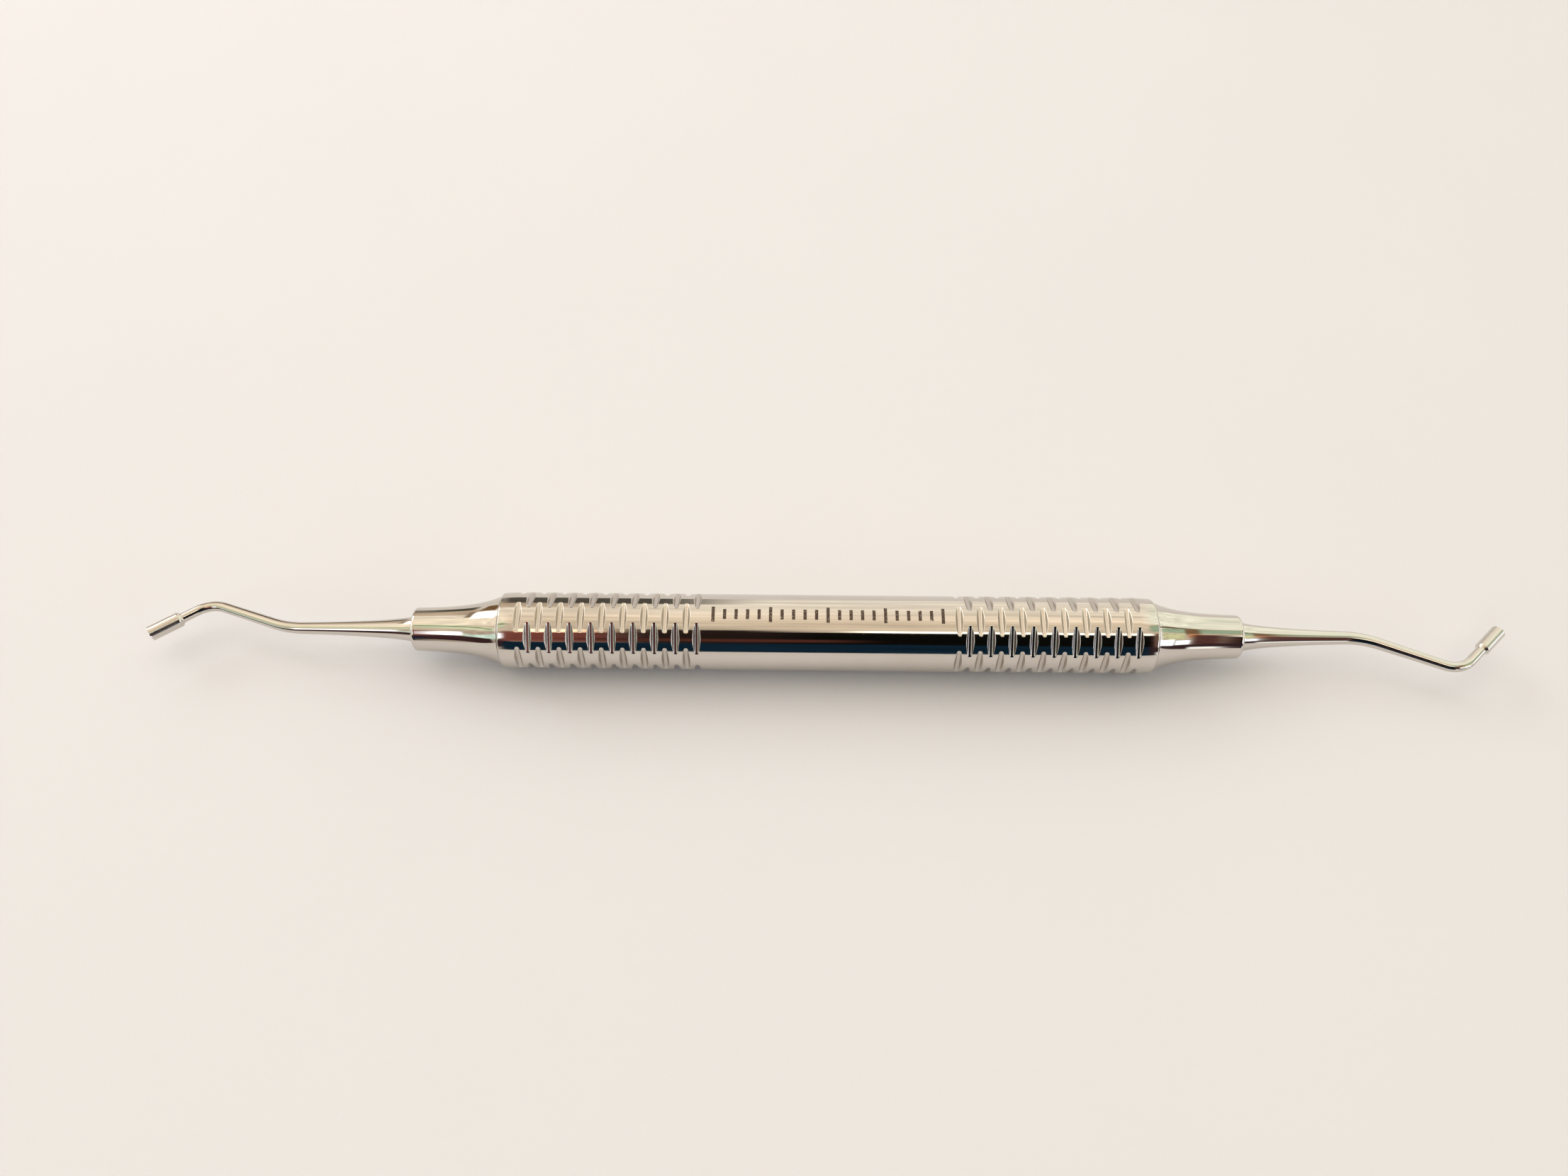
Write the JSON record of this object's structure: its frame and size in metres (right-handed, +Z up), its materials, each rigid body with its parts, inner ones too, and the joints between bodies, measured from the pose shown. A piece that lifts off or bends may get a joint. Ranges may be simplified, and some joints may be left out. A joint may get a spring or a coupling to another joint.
{
  "type": "double-ended dental plugger",
  "caption": "Double-ended dental plugger: hollow steel handle with grooved grip bands, flared end cones, and bent shanks that end in flat serrated packing faces.",
  "frame": {"origin": "under the middle of the handle, on the surface that the instrument lies on", "axes": "+X along the handle towards the small plugger end, +Z up, with both shanks bent in the horizontal plane through the handle's axis"},
  "size_m": [0.1696, 0.0094, 0.0095],
  "materials": {
    "handle_steel": "polished",
    "cone_steel": "polished",
    "tip_steel": "polished"
  },
  "bodies": {
    "root": {"handle_tube": "handle_steel", "left_cone": "cone_steel", "right_cone": "cone_steel", "large_plugger_end": "tip_steel", "small_plugger_end": "tip_steel"}
  },
  "joints": []
}
